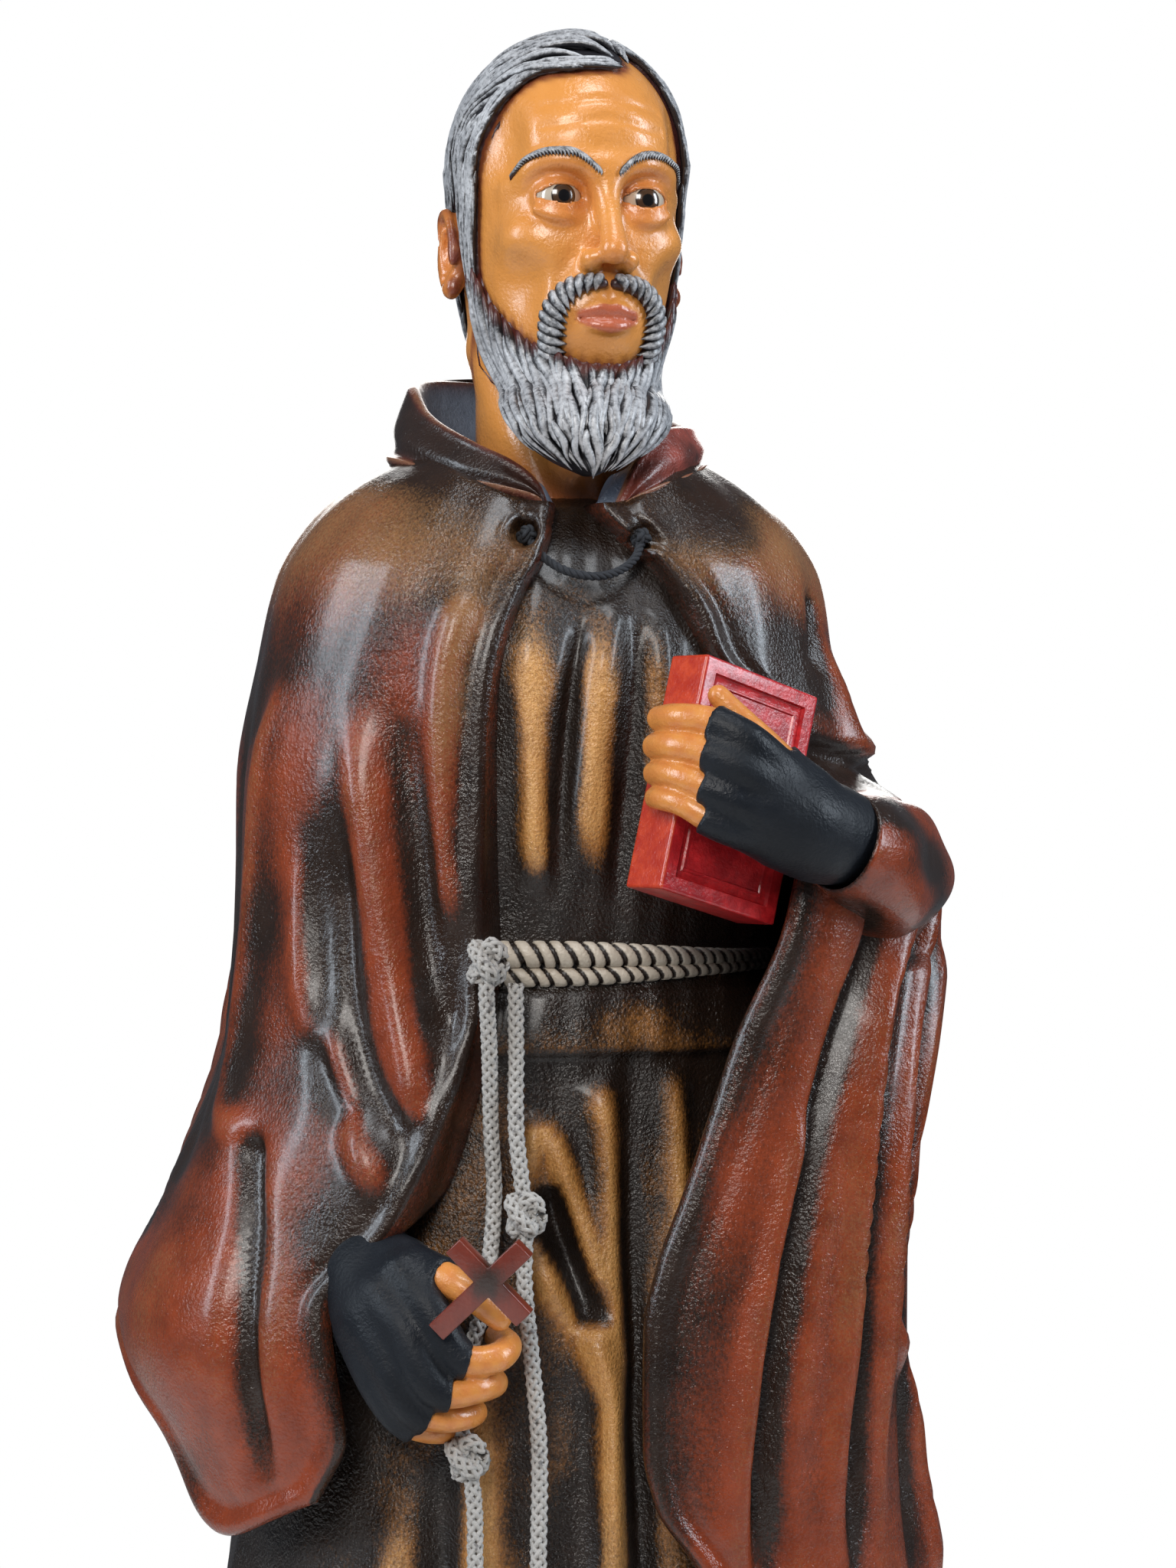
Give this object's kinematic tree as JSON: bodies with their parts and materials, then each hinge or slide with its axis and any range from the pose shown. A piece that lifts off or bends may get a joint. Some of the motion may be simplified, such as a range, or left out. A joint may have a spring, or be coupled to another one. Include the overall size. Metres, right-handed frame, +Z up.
{
  "type": "fiberglass saint statue",
  "caption": "Standing bearded friar in a hooded cape and roped habit, one hand holding a book to the chest and the other a small cross, on a low base.",
  "frame": {"origin": "middle of the base's flat underside", "axes": "+Z up along the standing figure; the figure faces -Y, with its left hand towards +X"},
  "size_m": [0.3424, 0.3094, 1.099],
  "materials": {
    "painted fiberglass": "hand-painted and dry-brushed, semi-gloss",
    "red-brown wood": "stained, satin",
    "undyed cord": "braided, matt",
    "black yarn": "twisted, matt"
  },
  "bodies": {
    "root": {"figure": "painted fiberglass", "hand_cross": "red-brown wood", "cincture_cord_held": "undyed cord", "cincture_cord_free": "undyed cord", "clasp_cord": "black yarn"}
  },
  "joints": []
}
